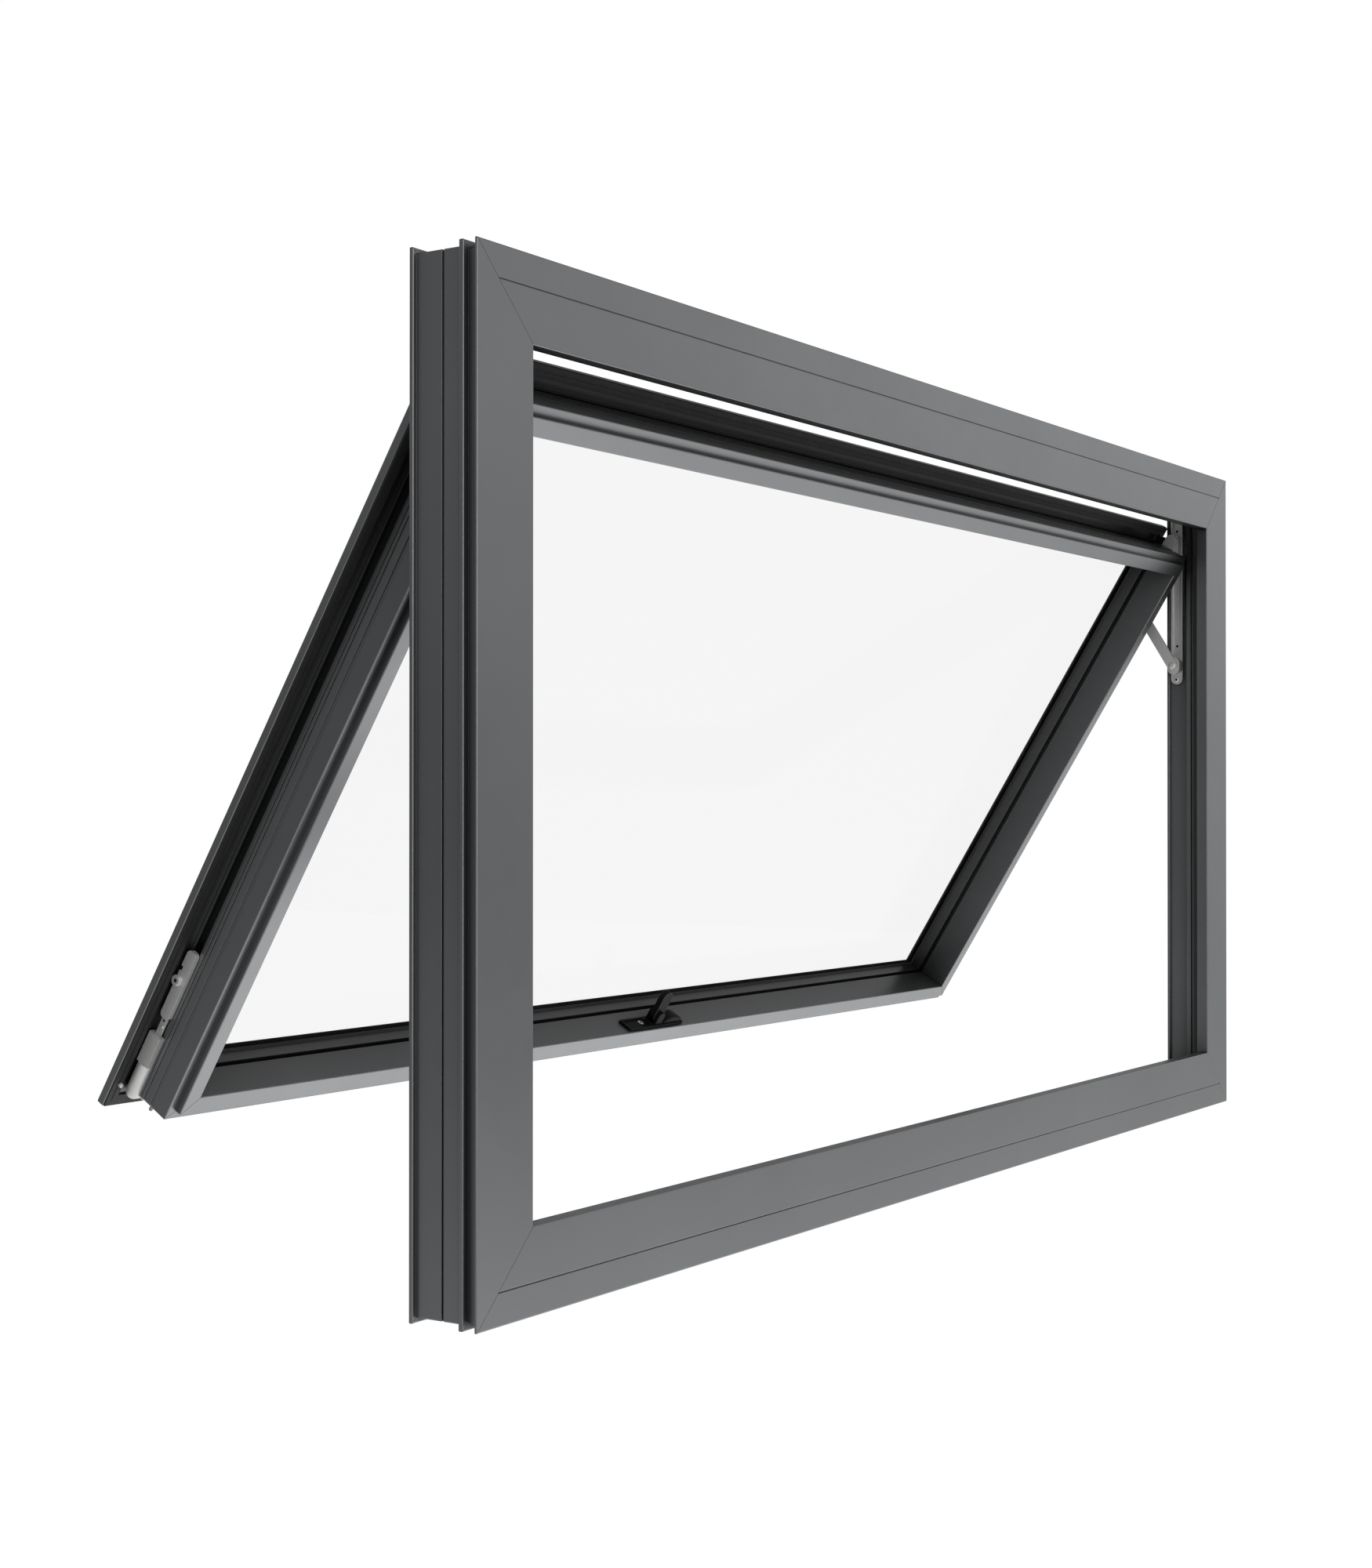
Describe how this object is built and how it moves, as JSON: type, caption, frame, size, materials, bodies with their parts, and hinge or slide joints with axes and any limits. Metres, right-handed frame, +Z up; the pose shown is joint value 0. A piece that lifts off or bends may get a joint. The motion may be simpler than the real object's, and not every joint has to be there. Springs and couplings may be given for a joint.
{
  "type": "top hung awning window",
  "caption": "Top hung awning window: mitred aluminium frame, glazed sash on sliding side stays, open outwards, with a small folding handle and lock rods.",
  "frame": {"origin": "under the sill, on the tip of its middle rib, in the middle of the width", "axes": "+X along the width, to the right seen from indoors; +Y outdoors; +Z up"},
  "size_m": [1.2, 0.3432, 0.62],
  "materials": {
    "painted_aluminium": "powder coat, dark grey, satin",
    "handle_paint": "satin black",
    "seal": "matt",
    "stay_steel": "satin stainless",
    "glass": "clear float"
  },
  "bodies": {
    "frame": {"frame_head": "painted_aluminium", "frame_sill": "painted_aluminium", "frame_jamb_left": "painted_aluminium", "frame_jamb_right": "painted_aluminium", "frame_seal": "seal", "stay_track_left": "stay_steel", "stay_track_right": "stay_steel", "stay_end_cap_left": "stay_steel", "stay_end_cap_right": "stay_steel"},
    "link_left": {"stay_link_left": "stay_steel"},
    "link_right": {"stay_link_right": "stay_steel"},
    "sash": {"sash_top_rail": "painted_aluminium", "sash_bottom_rail": "painted_aluminium", "sash_stile_left": "painted_aluminium", "sash_stile_right": "painted_aluminium", "glazing_bead_top": "painted_aluminium", "glazing_bead_bottom": "painted_aluminium", "glazing_bead_left": "painted_aluminium", "glazing_bead_right": "painted_aluminium", "glazing_gasket_inside": "seal", "glazing_gasket_outside": "seal", "leaf_seal": "seal", "glass_pane": "glass", "stay_sash_arm_left": "stay_steel", "stay_sash_arm_right": "stay_steel", "corner_drive_left": "stay_steel", "corner_drive_right": "stay_steel", "handle_base": "handle_paint"},
    "shoe_left": {"stay_shoe_left": "stay_steel"},
    "shoe_right": {"stay_shoe_right": "stay_steel"},
    "handle": {"handle_lever": "handle_paint"},
    "rod_left": {"lock_rod_left": "stay_steel"},
    "rod_right": {"lock_rod_right": "stay_steel"}
  },
  "joints": [
    {"name": "stay_left_lower_pivot", "type": "hinge", "parent": "frame", "child": "link_left", "pos_m": [-0.552, 0.02775, 0.434], "axis": [1, 0, 0], "range_deg": [-10, 31.5]},
    {"name": "stay_left_knee", "type": "hinge", "parent": "link_left", "child": "sash", "pos_m": [-0.552, 0.06563, 0.49582], "axis": [1, 0, 0], "range_deg": [-63, 20]},
    {"name": "shoe_left_pivot", "type": "hinge", "parent": "sash", "child": "shoe_left", "pos_m": [-0.552, 0.02775, 0.55763], "axis": [1, 0, 0], "range_deg": [-10, 31.5]},
    {"name": "shoe_right_pivot", "type": "hinge", "parent": "sash", "child": "shoe_right", "pos_m": [0.552, 0.02775, 0.55763], "axis": [1, 0, 0], "range_deg": [-10, 31.5]},
    {"name": "stay_right_lower_pivot", "type": "hinge", "parent": "frame", "child": "link_right", "pos_m": [0.552, 0.02775, 0.434], "axis": [1, 0, 0], "range_deg": [-10, 31.5]},
    {"name": "handle_turn", "type": "hinge", "parent": "sash", "child": "handle", "pos_m": [0.0065, 0.27452, 0.11857], "axis": [0, 0.8526, 0.5225], "range_deg": [-75, 0]},
    {"name": "lock_rod_left_slide", "type": "slide", "parent": "sash", "child": "rod_left", "axis": [0, -0.5225, 0.8526], "range_m": [0, 0.012]},
    {"name": "lock_rod_right_slide", "type": "slide", "parent": "sash", "child": "rod_right", "axis": [0, -0.5225, 0.8526], "range_m": [0, 0.012]}
  ],
  "couplings": [
    {"joint": "stay_left_knee", "follows": "stay_left_lower_pivot", "ratio": -2},
    {"joint": "shoe_left_pivot", "follows": "stay_left_lower_pivot", "ratio": 1},
    {"joint": "shoe_right_pivot", "follows": "stay_left_lower_pivot", "ratio": 1},
    {"joint": "stay_right_lower_pivot", "follows": "stay_left_lower_pivot", "ratio": 1},
    {"joint": "lock_rod_left_slide", "follows": "handle_turn", "m_per_rad": -0.009166},
    {"joint": "lock_rod_right_slide", "follows": "handle_turn", "m_per_rad": -0.009166}
  ]
}
